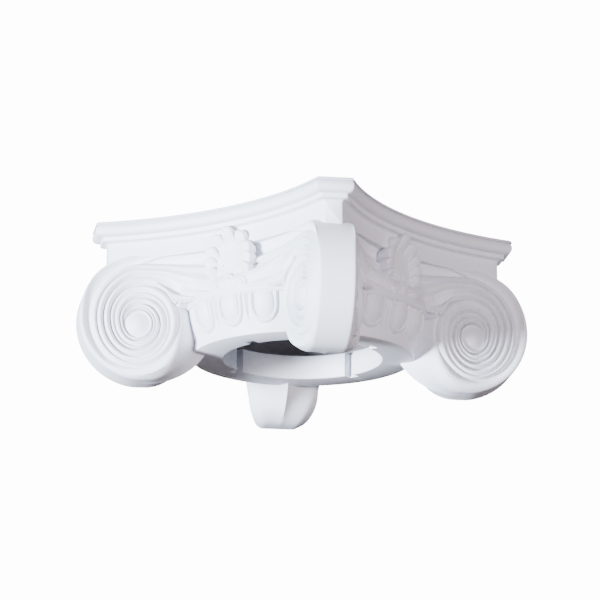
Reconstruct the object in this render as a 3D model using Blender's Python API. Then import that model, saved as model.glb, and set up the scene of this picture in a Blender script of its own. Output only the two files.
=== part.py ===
"""Ionic capital: square capital with diagonal volutes, concave abacus and egg-and-dart echinus.

Millimetres below, written out in metres. z = 0 is the underside of the volutes and the four
sides face -Y, +X, +Y and -X.
"""
import math

import bmesh
import bpy

MM = 0.001
SIDES = 4

# Abacus
HEIGHT = 154.6           # volute underside to the top of the abacus
FASCIA_MID = 113.5       # axis to the fascia at the middle of a side
SIDE_RADIUS = 317.0      # plan radius of the hollow side
CORNER_REACH = 190.8     # axis to the clipped corner of the fascia
MOULDING_DEPTH = 20.9    # top of the abacus to the fascia
FASCIA_DEPTH = 15.2      # fascia at the middle of a side
FASCIA_CORNER_DROP = 7.5
FASCIA_TOP = HEIGHT - MOULDING_DEPTH
FASCIA_BOTTOM = FASCIA_TOP - FASCIA_DEPTH
FASCIA_CORNER_BOTTOM = FASCIA_BOTTOM - FASCIA_CORNER_DROP
CAVETTO_OUT = 5.7        # fillet over the fascia
CAVETTO_RISE = 2.6
FILLET_RISE = 4.1
OVOLO_OUT = 13.1         # ovolo over the fascia
OVOLO_START = 9.0
ARC_STEPS = 8            # edges along one hollow side

# Neck ring, echinus and hollow
BORE_RADIUS = 76.2
LIP_HEIGHT = 23.3        # height of the bore wall
CAVITY_RADIUS = 92.0
CROWN_THICKNESS = 14.6   # closed plate over the cavity
RING_RADIUS = 107.7
RING_BOTTOM = 30.3
BAND_HEIGHT = 9.5        # plain band under the eggs
ECHINUS_RADIUS = 116.5   # under the lip
LIP_BOTTOM = 67.5
LIP_OUT = 5.6
LIP_DEPTH = 8.5
KEYWAY_WIDTH = 10.0
KEYWAY_DEPTH = 9.0
TURNED_STEPS = 36

# Faces between the volutes
FACE_MID = 106.0         # axis to the channel floor at the middle of a side
FACE_RADIUS = 195.3      # plan radius of the face
LIP_TILT = 15.5          # how far the floor leans out to meet the lip
LIP_HALF = 62.0          # half the length over which it leans
LIP_BLEND = 34.5         # height of the lean over the underside of the lip

# Volute: eye centre along the face from its middle, and radii at each quarter turn from the top
EYE_S = 103.2
EYE_Z = 52.9
EYE_RADIUS = 11.8
EYE_RISE = 3.2
CROWN_EDGE = 66.6        # eye to the volute's top edge
EDGE_INSET = 2.4         # rounding between the face and the outer band
FOOT_FLAT = 0.6          # how much the underside is flattened to stand on
GROOVE = (61.5, 45.6, 42.0, 39.6, 39.2, 25.2, 24.5, 21.6, 20.1, 13.4, 12.9, 12.6, 12.4)
FILLET = (48.2, 32.1, 31.0, 28.2, 26.6, 16.1, 16.0, 14.9)
STEPS = 16               # spokes in one turn
GROOVE_DEPTH = 2.4
FILLET_DEPTH = 1.7
RIDGE_RISE = 0.9
CHANNEL_DEPTH = 3.2
CHANNEL_FALL = (0.0, 0.15, 0.52, 0.87, 1.0)  # share fallen at each quarter of the way to the middle
CHANNEL_EDGE_DROP = 6.5  # under the fascia, at the middle of a side
CHANNEL_LINE_DROP = 12.0
CHANNEL_RIB_DROP = 22.5
CHANNEL_FOOT_RISE = 9.5  # over the underside of the lip
BAND_HALF = 17.7         # half the outer band, across the diagonal
BAND_REACH = 218.5       # axis to the outermost point of the band
BAND_CENTRE = 156.0      # reach of the band's lowest and highest points
BAND_INNER = 70.0
BAND_MIDDLE = 62.0       # height of the outermost point

# Carving
EGGS = 20                # spaces round the echinus
EGG_HALF = 13.0          # half height
EGG_WIDTH = 8.6
EGG_OUT = 3.6
SHELL_LOBES = 9
SHELL_BASE = 84.0
SHELL_TOP = 135.0
SHELL_HALF = 29.0
LOBE_SPACING = 13.0      # small lobes under the shell
LOBE_RISE = 12.9         # over the underside of the lip
LOBE_HALF = 6.4
LOBE_OUT = 5.5
LOBE_BACK = 13.2         # how far the lobes reach back into the body
HUSK_LEAVES = 3


def smooth(values, t):
    """Smooth curve through evenly spaced values."""
    t = max(0.0, min(t, len(values) - 1.0))
    i = min(int(t), len(values) - 2)
    f = t - i
    p1, p2 = values[i], values[i + 1]
    p0 = values[i - 1] if i else 2.0 * p1 - p2
    p3 = values[i + 2] if i + 2 < len(values) else 2.0 * p2 - p1
    m1 = 0.0 if (p2 - p1) * (p1 - p0) <= 0 else 0.5 * (p2 - p0)
    m2 = 0.0 if (p3 - p2) * (p2 - p1) <= 0 else 0.5 * (p3 - p1)
    h = f * f * (3.0 - 2.0 * f)
    return p1 + (p2 - p1) * h + m1 * f * (1 - f) ** 2 - m2 * f * f * (1 - f)


def step(x):
    """Soft step from 0 to 1."""
    x = max(0.0, min(1.0, x))
    return x * x * (3.0 - 2.0 * x)


def mix(a, b, f):
    """Point a share f of the way from a to b."""
    return tuple(p + (q - p) * f for p, q in zip(a, b))


def between(a, b, f):
    """Number a share f of the way from a to b."""
    return a + (b - a) * f


def turn(point, quarter):
    """Point turned about the axis by quarter turns."""
    x, y, z = point
    for _ in range(quarter % SIDES):
        x, y = -y, x
    return (x, y, z)


def make_object(name, verts, faces):
    """Mesh object with welded corners and outward faces."""
    mesh = bpy.data.meshes.new(name)
    bm = bmesh.new()
    points = [bm.verts.new((x * MM, y * MM, z * MM)) for x, y, z in verts]
    bm.verts.ensure_lookup_table()
    for face in faces:
        loop = []
        for index in face:
            if points[index] not in loop:
                loop.append(points[index])
        if len(loop) > 2 and bm.faces.get(loop) is None:
            bm.faces.new(loop)
    bmesh.ops.remove_doubles(bm, verts=bm.verts, dist=0.01 * MM)
    bmesh.ops.dissolve_degenerate(bm, edges=bm.edges, dist=0.01 * MM)
    bmesh.ops.recalc_face_normals(bm, faces=bm.faces)
    bm.to_mesh(mesh)
    bm.free()
    obj = bpy.data.objects.new(name, mesh)
    bpy.context.scene.collection.objects.link(obj)
    return obj


def loft(name, rings, wrap=False):
    """Closed solid through rings of equal length; wrap joins the last ring to the first."""
    count = len(rings[0])
    verts = [point for ring in rings for point in ring]
    faces = []
    last = len(rings) if wrap else len(rings) - 1
    for r in range(last):
        a, b = r * count, ((r + 1) % len(rings)) * count
        for i in range(count):
            j = (i + 1) % count
            faces.append((a + i, a + j, b + j, b + i))
    if not wrap:
        faces.append(tuple(range(count)))
        faces.append(tuple(range((len(rings) - 1) * count, len(rings) * count)))
    return make_object(name, verts, faces)


def turned(name, profile, wrap=False):
    """Solid of revolution about the axis."""
    rings = []
    for radius, z in profile:
        ring = []
        for i in range(TURNED_STEPS):
            angle = 2.0 * math.pi * i / TURNED_STEPS
            ring.append((radius * math.cos(angle), radius * math.sin(angle), z))
        rings.append(ring)
    return loft(name, rings, wrap)


def side_arc(out, z_mid, z_end):
    """Corners of the abacus outline set out from the fascia, for all sides."""
    centre = FASCIA_MID + SIDE_RADIUS
    radius = SIDE_RADIUS - out
    reach = CORNER_REACH + out
    end = math.pi / 4 + math.asin((math.sqrt(2) * reach - centre) / (math.sqrt(2) * radius))
    ring = []
    for quarter in range(SIDES):
        for k in range(ARC_STEPS + 1):
            u = 2.0 * k / ARC_STEPS - 1.0
            z = z_mid + (z_end - z_mid) * step((abs(u) - 0.55) / 0.3)
            point = (radius * math.sin(u * end), radius * math.cos(u * end) - centre, z)
            ring.append(turn(point, quarter))
    return ring


def abacus():
    """Moulded slab with hollow sides and clipped corners."""
    fillet = FASCIA_TOP + CAVETTO_RISE
    ovolo = fillet + FILLET_RISE
    rise = HEIGHT - ovolo
    grow = OVOLO_OUT - OVOLO_START
    profile = [(0.0, FASCIA_TOP), (0.45 * CAVETTO_OUT, FASCIA_TOP + 0.35 * CAVETTO_RISE),
               (CAVETTO_OUT, fillet), (CAVETTO_OUT, ovolo)]
    for share, up in ((0.0, 0.02), (0.62, 0.16), (1.0, 0.48), (1.0, 0.78), (0.72, 0.94)):
        profile.append((OVOLO_START + share * grow, ovolo + up * rise))
    profile.append((OVOLO_START + 0.3 * grow, HEIGHT))
    rings = [side_arc(0.0, FASCIA_BOTTOM, FASCIA_CORNER_BOTTOM)]
    rings.insert(0, [(0.7 * x, 0.7 * y, FASCIA_BOTTOM) for x, y, z in rings[0]])
    rings += [side_arc(out, z, z) for out, z in profile]
    return loft("abacus", rings)


def core():
    """Solid neck ring, plain band, echinus and lip."""
    eggs = RING_BOTTOM + BAND_HEIGHT
    tall = LIP_BOTTOM - eggs
    grow = ECHINUS_RADIUS - RING_RADIUS
    profile = [(RING_RADIUS - 1.2, RING_BOTTOM), (RING_RADIUS, RING_BOTTOM + 1.2),
               (RING_RADIUS, eggs)]
    for u in (0.3, 0.65, 1.0):
        profile.append((RING_RADIUS + grow * math.sin(u * math.pi / 2), eggs + u * tall))
    for out, up in ((0.62, 0.12), (1.0, 0.45), (1.0, 0.85)):
        profile.append((ECHINUS_RADIUS + out * LIP_OUT, LIP_BOTTOM + up * LIP_DEPTH))
    top = LIP_BOTTOM + LIP_DEPTH
    profile += [(ECHINUS_RADIUS, top + 2.0), (FACE_MID - 4.0, top + 6.0),
                (FACE_MID - 4.0, FASCIA_BOTTOM + 8.0)]
    return turned("core", profile)


def face_point(s, z, h=0.0):
    """Point on the -Y face: s along it, z up, h out of it."""
    floor = step(1.0 - abs(s) / LIP_HALF) * step((LIP_BOTTOM + LIP_BLEND - z) / (LIP_BLEND - 9.5))
    radius = FACE_RADIUS - h - LIP_TILT * floor
    a = s / FACE_RADIUS
    return (radius * math.sin(a), radius * math.cos(a) - FACE_MID - FACE_RADIUS, z)


def eye_polar(angle, radius, h):
    """Point on the face by angle (0 outward, up positive) and radius from the eye."""
    return face_point(EYE_S + radius * math.cos(angle), EYE_Z + radius * math.sin(angle), h)


def diagonal(reach, half, z):
    """Point by its reach along the (+X, -Y) diagonal and its offset toward the -Y face."""
    c = math.sqrt(0.5)
    return ((reach - half) * c, (-reach - half) * c, z)


def eye_reach():
    """Reach of the eye along the diagonal."""
    x, y, _ = face_point(EYE_S, EYE_Z)
    return (x - y) * math.sqrt(0.5)


def outline_radius(angle):
    """Distance from the eye to the volute's outline in the diagonal plane."""
    start = eye_reach()
    low, high = 10.0, 150.0
    for _ in range(40):
        radius = 0.5 * (low + high)
        across = start + radius * math.cos(angle) - BAND_CENTRE
        up = (EYE_Z + radius * math.sin(angle) - BAND_MIDDLE) / BAND_MIDDLE
        side = BAND_REACH - BAND_CENTRE if across > 0 else BAND_INNER
        if (across / side) ** 2 + up ** 2 < 1.0:
            low = radius
        else:
            high = radius
    return low


def spoke_angle(t):
    """Direction of a spoke: quarter turn 0 is up, 1 outward, 2 down and 3 inward."""
    return math.pi / 2 - t * math.pi / 2


def edge_radius(t):
    """Radius of the face's outer edge at quarter turn t."""
    band = outline_radius(spoke_angle(t)) - EDGE_INSET * (1.0 + 0.9 * step(t - 1.0))
    top = step(1.0 - t / 0.9)
    inner = step((t - 1.9) / 1.0)
    groove = smooth(GROOVE, t) + 1.4
    return band + (CROWN_EDGE - band) * top + (groove - band) * inner


def mirror_diagonal(point):
    """Point mirrored in the (+X, -Y) diagonal plane."""
    x, y, z = point
    return (-y, -x, z)


def spiral_rows(t):
    """Named rows from the outer edge to the eye on the spoke at quarter turn t."""
    rows = {}
    if t < 3.0:
        edge = edge_radius(t)
        inner = smooth(GROOVE, t)
        wide = step(1.0 - abs(t - 0.9) / 1.6)
        rows["edge"] = (edge, 0.0)
        rows["slope"] = (0.62 * edge + 0.38 * inner, -0.55 * CHANNEL_DEPTH * wide - 0.5)
        rows["groove0"] = (inner, -GROOVE_DEPTH - (CHANNEL_DEPTH - GROOVE_DEPTH) * wide)
    else:
        rows["groove0"] = (smooth(GROOVE, t), -GROOVE_DEPTH)
    for k in range(2):
        outer = smooth(GROOVE, t + 4 * k)
        fillet = smooth(FILLET, min(t + 4 * k, 7.0))
        inner = smooth(GROOVE, t + 4 * k + 4)
        rows["crest%d" % k] = (fillet + 0.45 * (outer - fillet), 0.3 * RIDGE_RISE)
        rows["fillet%d" % k] = (fillet, -FILLET_DEPTH)
        rows["ridge%d" % k] = (0.5 * (fillet + inner), RIDGE_RISE)
        rows["groove%d" % (k + 1)] = (inner, -GROOVE_DEPTH)
    return rows


def half_scroll(verts, faces, place):
    """Carved face of half a volute; returns its spokes and the function that adds points."""
    def add(point):
        verts.append(place(point))
        return len(verts) - 1

    spokes = []
    for i in range(STEPS):
        t = 4.0 * i / STEPS
        angle = spoke_angle(t)
        spokes.append({key: add(eye_polar(angle, r, h)) for key, (r, h) in spiral_rows(t).items()})
    order = ["edge", "slope", "groove0", "crest0", "fillet0", "ridge0",
             "groove1", "crest1", "fillet1", "ridge1", "groove2"]
    for i in range(STEPS):
        here = spokes[i]
        there = dict(spokes[(i + 1) % STEPS])
        names = [n for n in order if n in here]
        if i == STEPS - 1:
            shift = {"groove0": "groove1", "crest0": "crest1", "fillet0": "fillet1",
                     "ridge0": "ridge1", "groove1": "groove2"}
            there = {old: spokes[0][new] for old, new in shift.items()}
            rim = ["groove0", "crest0", "fillet0", "ridge0", "groove1"]
            for a, b in zip(rim, rim[1:]):
                faces.append((here[a], here[b], there[b], there[a]))
            last = [here[n] for n in ("groove1", "crest1", "fillet1", "ridge1", "groove2")]
            faces.append(tuple(last + [spokes[0]["groove2"]]))
            continue
        for a, b in zip(names, names[1:]):
            if a in there:
                faces.append((here[a], here[b], there[b], there[a]))
            else:
                faces.append((here[a], here[b], there["groove0"]))
    dome = []
    for i in range(STEPS):
        angle = math.pi / 2 - 2.0 * math.pi * i / STEPS
        dome.append(add(eye_polar(angle, 0.72 * EYE_RADIUS, 0.6 * EYE_RISE)))
    centre = add(eye_polar(0.0, 0.0, EYE_RISE))
    for i in range(STEPS):
        j = (i + 1) % STEPS
        faces.append((spokes[i]["groove2"], spokes[j]["groove2"], dome[j], dome[i]))
        faces.append((dome[i], dome[j], centre))
    return spokes, add


def channel_rails(p):
    """Height and depth of each rail of the channel at share p from the volute to the middle."""
    top = (1.0 - p) * (EYE_Z + CROWN_EDGE) + p * (FASCIA_BOTTOM + 4.0)
    fall = smooth(CHANNEL_FALL, 4 * p)
    line = EYE_Z + GROOVE[0]
    rib = EYE_Z + 0.55 * GROOVE[0] + 0.45 * FILLET[0]
    foot = EYE_Z + FILLET[0]
    rails = [(top, 0.0)]
    rails.append((between(line + EDGE_INSET, FASCIA_BOTTOM - CHANNEL_EDGE_DROP, fall), -1.6))
    rails.append((between(line, FASCIA_BOTTOM - CHANNEL_LINE_DROP, fall), -CHANNEL_DEPTH))
    rails.append((between(rib, FASCIA_BOTTOM - CHANNEL_RIB_DROP, fall), 0.3 * RIDGE_RISE))
    rails.append((between(foot, LIP_BOTTOM + CHANNEL_FOOT_RISE, fall), -FILLET_DEPTH))
    return rails


def scroll_body():
    """One closed body: eight half volutes with their barrels and the channels between them."""
    verts, faces = [], []
    corner_rims = []
    for quarter in range(SIDES):
        for side in (0, 1):
            def place(point, quarter=quarter, side=side):
                return turn(mirror_diagonal(point) if side else point, quarter)
            spokes, add = half_scroll(verts, faces, place)
            corner_rims.append(close_half(verts, faces, spokes, add))
    top_rim, low_rim = [], []
    for index in range(0, len(corner_rims), 2):
        first, second = corner_rims[index], corner_rims[index + 1]
        top_rim += first[0] + second[0][::-1]
        low_rim += first[1] + second[1][::-1]
    verts.append((0.0, 0.0, FASCIA_BOTTOM + 6.0))
    high = len(verts) - 1
    verts.append((0.0, 0.0, LIP_BOTTOM + 4.0))
    low = len(verts) - 1
    for rim, hub in ((top_rim, high), (low_rim, low)):
        for a, b in zip(rim, rim[1:] + rim[:1]):
            faces.append((a, b, hub))
    return make_object("scrolls", verts, faces)


def close_half(verts, faces, spokes, add):
    """Channel sheet, band and barrel of one half; returns its upper and lower rims."""
    columns = 6
    husk_spoke = STEPS - 3
    column = [spokes[0][n] for n in ("edge", "slope", "groove0", "crest0", "fillet0",
                                     "ridge0", "groove1")]
    previous = column
    top_rim, low_rim = [column[0]], []
    curl = [spokes[i]["groove0"] for i in range(STEPS - 1, husk_spoke - 1, -1)]
    for c in range(1, columns + 1):
        p = c / columns
        s = EYE_S * (1.0 - p)
        rails = channel_rails(p)
        line = [add(face_point(s, z, h)) for z, h in rails]
        fillet_z = rails[-1][0]
        if c <= len(curl):
            foot = curl[c - 1]
        else:
            way = (c - len(curl) - 1) / (columns - len(curl) - 1)
            z = LIP_BOTTOM + smooth((4.1, 3.9, 5.1, 7.0), 3.0 * way)
            foot = add(face_point(s, z, -0.8))
        point = face_point(s, fillet_z, 0.0)
        if c <= len(curl):
            turned_in = curl_point(c)
            middle = add(face_point(turned_in[0], 0.5 * (fillet_z + turned_in[1]) + 1.5, 0.6))
        else:
            middle = add(face_point(s, 0.5 * (fillet_z + z), 0.4))
        line += [middle, foot]
        for a in range(len(line) - 1):
            faces.append((previous[a], previous[a + 1], line[a + 1], line[a]))
        top_rim.append(line[0])
        if c >= len(curl):
            low_rim.append(foot)
        previous = line
    rim = [band_spoke(spokes[i], 4.0 * i / STEPS, add) for i in range(husk_spoke + 1)]
    for one, two in zip(rim, rim[1:]):
        for a in range(len(one) - 1):
            faces.append((one[a], one[a + 1], two[a + 1], two[a]))
    top = top_rim[::-1] + rim[0][1:]
    low = low_rim[::-1] + rim[-1][1:]
    return top, low


def curl_point(c):
    """Where spoke c back from the crown leaves the volute, as s and z."""
    t = 4.0 * (STEPS - c) / STEPS
    angle = spoke_angle(t)
    radius = smooth(GROOVE, t)
    return (EYE_S + radius * math.cos(angle), EYE_Z + radius * math.sin(angle))


def band_spoke(spoke, t, add):
    """Rows from the face edge across the band or barrel to the diagonal plane."""
    angle = spoke_angle(t)
    radius = edge_radius(t) if t < 3.0 else smooth(GROOVE, t)
    out = outline_radius(angle)
    reach = eye_reach() + out * math.cos(angle)
    z = max(0.0, EYE_Z + out * math.sin(angle) - FOOT_FLAT)
    inner = step((t - 1.9) / 0.9)
    ridge = diagonal(reach, 0.0, z)
    barrel = mix(eye_polar(angle, radius + 2.4, -7.0), ridge, 0.12)
    first = mix(diagonal(reach, BAND_HALF, z), barrel, inner)
    barrel = mix(eye_polar(angle, radius + 1.5, -14.0), ridge, 0.45)
    second = mix(diagonal(reach, 0.5 * BAND_HALF, z), barrel, inner)
    face = spoke["edge"] if "edge" in spoke else spoke["groove0"]
    return [face, add(first), add(second), add(ridge)]


def eggs_and_darts():
    """Eggs, their frames and the darts that show between the volutes."""
    low = RING_BOTTOM + BAND_HEIGHT
    centre_z = low + EGG_HALF + 0.6
    objects = []
    for quarter in range(SIDES):
        for k in (-1, 0, 1):
            objects.append(egg(quarter, 2.0 * math.pi * k / EGGS, centre_z))
        for k in (-1.5, -0.5, 0.5, 1.5):
            objects.append(dart(quarter, 2.0 * math.pi * k / EGGS, low))
    return objects


def echinus_radius(z):
    """Radius of the plain echinus at a height."""
    low = RING_BOTTOM + BAND_HEIGHT
    u = max(0.0, min(1.0, (z - low) / (LIP_BOTTOM - low)))
    return RING_RADIUS + (ECHINUS_RADIUS - RING_RADIUS) * math.sin(u * math.pi / 2)


def egg(quarter, angle, centre_z):
    """One egg, rounded below and cut off by the lip above."""
    rings = []
    for z, share in ((-EGG_HALF, 0.2), (-0.62 * EGG_HALF, 0.74), (0.2 * EGG_HALF, 1.0),
                     (EGG_HALF + 1.6, 0.96)):
        height = centre_z + z
        base = echinus_radius(height)
        ring = []
        for k in range(8):
            a = 2.0 * math.pi * k / 8
            across = share * EGG_WIDTH * math.sin(a)
            out = share * EGG_OUT * math.cos(a)
            if math.cos(a) < 0:
                out *= 1.2
            reach = base + out
            ring.append(around(quarter, angle, reach, across, height))
        rings.append(ring)
    return loft("egg", rings)


def around(quarter, angle, reach, across, z):
    """Point at a reach from the axis, turned from the middle of a side."""
    c, s = math.cos(angle), math.sin(angle)
    x = reach * s + across * c
    y = -reach * c + across * s
    return turn((x, y, z), quarter)


def dart(quarter, angle, low):
    """One dart between two eggs, pointed below."""
    rings = []
    for u, half in ((0.06, 0.3), (0.34, 2.1), (1.05, 3.1)):
        height = low + u * (LIP_BOTTOM - low)
        base = echinus_radius(height)
        rings.append([around(quarter, angle, base + 2.3 * min(1.0, 0.4 + u), 0.0, height),
                      around(quarter, angle, base - 2.0, half, height),
                      around(quarter, angle, base - 2.0, -half, height)])
    return loft("dart", rings)


def shell(quarter):
    """Fan of lobes on the middle of a side, over the channel and the abacus."""
    spokes = 2 * SHELL_LOBES
    hub_z = SHELL_BASE + 0.18 * (SHELL_TOP - SHELL_BASE)
    front, back = [], []
    for row, share in enumerate((0.0, 0.45, 0.8, 1.0)):
        line, behind = [], []
        for k in range(spokes + 1):
            a = math.radians(118.0) * (2.0 * k / spokes - 1.0)
            ridge = k % 2
            reach = share * (1.0 if ridge else 0.9)
            x = SHELL_HALF * reach * math.sin(a) * (1.0 + 0.06 * math.cos(a))
            z = hub_z + (SHELL_TOP - hub_z) * reach * (math.cos(a) if a * a < 2.46 else
                                                       0.62 * math.cos(a))
            out = shell_depth(share, ridge)
            line.append(turn((x, -out, z), quarter))
            behind.append(turn((0.94 * x, -(FACE_MID - 9.3), z), quarter))
        front.append(line)
        back.append(behind)
    rings = []
    width = spokes + 1
    for k in range(width):
        ring = [row[k] for row in front] + [back[-1][k], back[1][k]]
        rings.append(ring)
    return loft("shell", rings)


def shell_depth(share, ridge):
    """Reach of the shell's front from the axis: hollow in the middle, curling out at the tips."""
    base = FASCIA_MID + 3.0 + 3.6 * share ** 2
    return base + (2.4 * share if ridge else 0.0)


def base_lobes(quarter):
    """Three small lobes under the shell."""
    objects = []
    for k in (-1, 0, 1):
        middle = 1.0 - abs(k)
        z = LIP_BOTTOM + LOBE_RISE + 1.5 * middle
        half = LOBE_HALF + 0.6 * middle
        rings = []
        for up, share in ((-1.0, 0.5), (0.0, 1.0), (1.15, 0.35)):
            ring = []
            for n in range(6):
                a = 2.0 * math.pi * n / 6
                out = math.cos(a) * (LOBE_OUT if math.cos(a) > 0 else LOBE_BACK)
                ring.append(turn((k * LOBE_SPACING + share * half * math.sin(a),
                                  -(FASCIA_MID + 3.5 + share * out),
                                  z + up * LOBE_HALF), quarter))
            rings.append(ring)
        objects.append(loft("base_lobe", rings))
    return objects


def husk(place):
    """Pointed leaves springing from the top of a volute over the egg panel."""
    objects = []
    root = (EYE_S - 17.0, EYE_Z + 42.5)
    for k in range(HUSK_LEAVES):
        u = k / (HUSK_LEAVES - 1.0)
        tip = (LIP_HALF - 1.5 - 15.5 * u, LIP_BOTTOM + 3.3 + 0.4 * u)
        dx, dz = tip[0] - root[0], tip[1] - root[1]
        length = math.hypot(dx, dz)
        nx, nz = -dz / length, dx / length
        rings = []
        for f, half, rise in ((0.25, 1.6, 1.0), (0.62, 3.0, 2.6), (0.9, 3.2, 3.6), (1.0, 0.5, 3.0)):
            bend = 5.0 * u * math.sin(f * math.pi)
            s = root[0] + dx * f + nx * bend
            z = root[1] + dz * f + nz * bend
            rings.append([place(face_point(s + nx * half, z + nz * half, -0.5)),
                          place(face_point(s, z, rise)),
                          place(face_point(s - nx * half, z - nz * half, -0.5)),
                          place(face_point(s, z, -5.0))])
        objects.append(loft("husk_leaf", rings))
    return objects


def hollow():
    """Everything taken out from below: bore, cavity and the four keyways."""
    top = HEIGHT - CROWN_THICKNESS
    lip = RING_BOTTOM + LIP_HEIGHT
    bore = turned("bore", [(BORE_RADIUS, RING_BOTTOM - 5.0), (BORE_RADIUS, lip),
                           (CAVITY_RADIUS, lip), (CAVITY_RADIUS, top)])
    cutters = [bore]
    for quarter in range(SIDES):
        ring = [(-KEYWAY_WIDTH / 2, -(BORE_RADIUS + KEYWAY_DEPTH)),
                (KEYWAY_WIDTH / 2, -(BORE_RADIUS + KEYWAY_DEPTH)),
                (KEYWAY_WIDTH / 2, -BORE_RADIUS / 2), (-KEYWAY_WIDTH / 2, -BORE_RADIUS / 2)]
        cutters.append(loft("keyway", [[turn((x, y, z), quarter) for x, y in ring]
                                       for z in (RING_BOTTOM - 4.0, lip + 4.0)]))
    return cutters


def combine(target, tools, operation):
    """Join or cut the target with each tool in turn."""
    for tool in tools:
        tool.hide_render = True
        tool.display_type = "WIRE"
        modifier = target.modifiers.new(operation.lower(), "BOOLEAN")
        modifier.operation = operation
        modifier.solver = "MANIFOLD"
        modifier.object = tool


def bake(obj, name):
    """Object made from the evaluated mesh, welded and free of slivers."""
    graph = bpy.context.evaluated_depsgraph_get()
    mesh = bpy.data.meshes.new_from_object(obj.evaluated_get(graph))
    mesh.name = name
    bm = bmesh.new()
    bm.from_mesh(mesh)
    bmesh.ops.dissolve_limit(bm, angle_limit=math.radians(3.0), verts=bm.verts, edges=bm.edges)
    bmesh.ops.triangulate(bm, faces=bm.faces)
    bmesh.ops.recalc_face_normals(bm, faces=bm.faces)
    bm.to_mesh(mesh)
    bm.free()
    result = bpy.data.objects.new(name, mesh)
    return result


def plaster():
    """White cast finish."""
    material = bpy.data.materials.new("white cast")
    material.use_nodes = True
    shader = material.node_tree.nodes["Principled BSDF"]
    shader.inputs["Base Color"].default_value = (0.83, 0.84, 0.85, 1.0)
    shader.inputs["Roughness"].default_value = 0.62
    return material


def main():
    for obj in list(bpy.data.objects):
        bpy.data.objects.remove(obj, do_unlink=True)
    body = core()
    pieces = [scroll_body(), abacus()] + eggs_and_darts()
    for quarter in range(SIDES):
        pieces.append(shell(quarter))
        pieces += base_lobes(quarter)
        for side in (0, 1):
            def place(point, quarter=quarter, side=side):
                return turn(mirror_diagonal(point) if side else point, quarter)
            pieces += husk(place)
    combine(body, pieces, "UNION")
    combine(body, hollow(), "DIFFERENCE")
    capital = bake(body, "ionic_capital")
    for obj in list(bpy.data.objects):
        if obj is not capital:
            bpy.data.objects.remove(obj, do_unlink=True)
    collection = bpy.data.collections.new("ionic capital")
    bpy.context.scene.collection.children.link(collection)
    collection.objects.link(capital)
    capital.data.materials.clear()
    capital.data.materials.append(plaster())


main()
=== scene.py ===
"""Ionic capital, one white casting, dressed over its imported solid.

Sizes are in millimetres and become metres where a mesh is made. z = 0 is the underside of the
volutes, the four sides face -Y, +X, +Y and -X, and the corners lie on the diagonals.
"""

import logging
import math
from dataclasses import dataclass
from enum import Enum
from typing import Callable, Sequence

import bmesh
import bpy
from mathutils import Matrix, Vector


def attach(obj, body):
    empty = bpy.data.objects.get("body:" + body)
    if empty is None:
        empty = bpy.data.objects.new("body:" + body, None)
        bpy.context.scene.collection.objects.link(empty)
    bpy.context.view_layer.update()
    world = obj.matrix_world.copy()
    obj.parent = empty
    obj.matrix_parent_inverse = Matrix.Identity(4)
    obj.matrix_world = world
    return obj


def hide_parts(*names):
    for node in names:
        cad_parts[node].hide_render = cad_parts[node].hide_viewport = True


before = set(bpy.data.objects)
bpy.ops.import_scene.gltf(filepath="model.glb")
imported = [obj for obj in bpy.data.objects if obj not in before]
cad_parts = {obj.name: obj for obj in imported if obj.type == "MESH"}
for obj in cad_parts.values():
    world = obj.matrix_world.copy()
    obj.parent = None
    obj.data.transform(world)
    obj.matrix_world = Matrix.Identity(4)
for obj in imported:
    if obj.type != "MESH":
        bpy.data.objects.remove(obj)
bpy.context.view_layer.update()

log = logging.getLogger("capital")

Point = tuple[float, float, float]
Place = Callable[[float, float], Point]

MM = 0.001
SIDES = 4


# Sums


def smooth(values: Sequence[float], t: float) -> float:
    """Smooth curve through evenly spaced values.

    Args:
        values: Heights at 0, 1, 2 and so on.
        t: Where to read the curve.

    Returns:
        The height at t, never past a value where the run of values turns.
    """
    t = max(0.0, min(t, len(values) - 1.0))
    i = min(int(t), len(values) - 2)
    f = t - i
    p1, p2 = values[i], values[i + 1]
    p0 = values[i - 1] if i else 2.0 * p1 - p2
    p3 = values[i + 2] if i + 2 < len(values) else 2.0 * p2 - p1
    m1 = 0.0 if (p2 - p1) * (p1 - p0) <= 0 else 0.5 * (p2 - p0)
    m2 = 0.0 if (p3 - p2) * (p2 - p1) <= 0 else 0.5 * (p3 - p1)
    h = f * f * (3.0 - 2.0 * f)
    return p1 + (p2 - p1) * h + m1 * f * (1 - f) ** 2 - m2 * f * f * (1 - f)


def step(x: float) -> float:
    """Soft step from 0 to 1."""
    x = max(0.0, min(1.0, x))
    return x * x * (3.0 - 2.0 * x)


def mix(a: float, b: float, f: float) -> float:
    """Value a share f of the way from a to b."""
    return a + (b - a) * f


def blend(a: Point, b: Point, f: float) -> Point:
    """Point a share f of the way from a to b."""
    return (mix(a[0], b[0], f), mix(a[1], b[1], f), mix(a[2], b[2], f))


def through(points: Sequence[Point], f: float) -> Point:
    """Point on the smooth curve through four points, f from 0 to 1.

    Args:
        points: The four points.
        f: Share along it, from 0 to 1.

    Returns:
        The point.
    """
    u = 3.0 * f
    shares = []
    for i in range(4):
        share = 1.0
        for j in range(4):
            if j != i:
                share *= (u - j) / (i - j)
        shares.append(share)
    return tuple(sum(s * p[axis] for s, p in zip(shares, points)) for axis in range(3))


# Mesh work


def deselect_all() -> None:
    """Leaves object mode with nothing selected."""
    if bpy.context.object is not None and bpy.context.object.mode != "OBJECT":
        bpy.ops.object.mode_set(mode="OBJECT")
    bpy.ops.object.select_all(action="DESELECT")


def pick(pieces: Sequence[bpy.types.Object]) -> bpy.types.Object:
    """Selects these pieces alone and makes the first one active.

    Args:
        pieces: What to select.

    Returns:
        The active piece.
    """
    deselect_all()
    for piece in pieces:
        piece.select_set(True)
    bpy.context.view_layer.objects.active = pieces[0]
    return pieces[0]


def named(name: str) -> bpy.types.Object:
    """Names the primitive just added, with its mesh."""
    piece = bpy.context.object
    piece.name = name
    piece.data.name = name
    return piece


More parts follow.
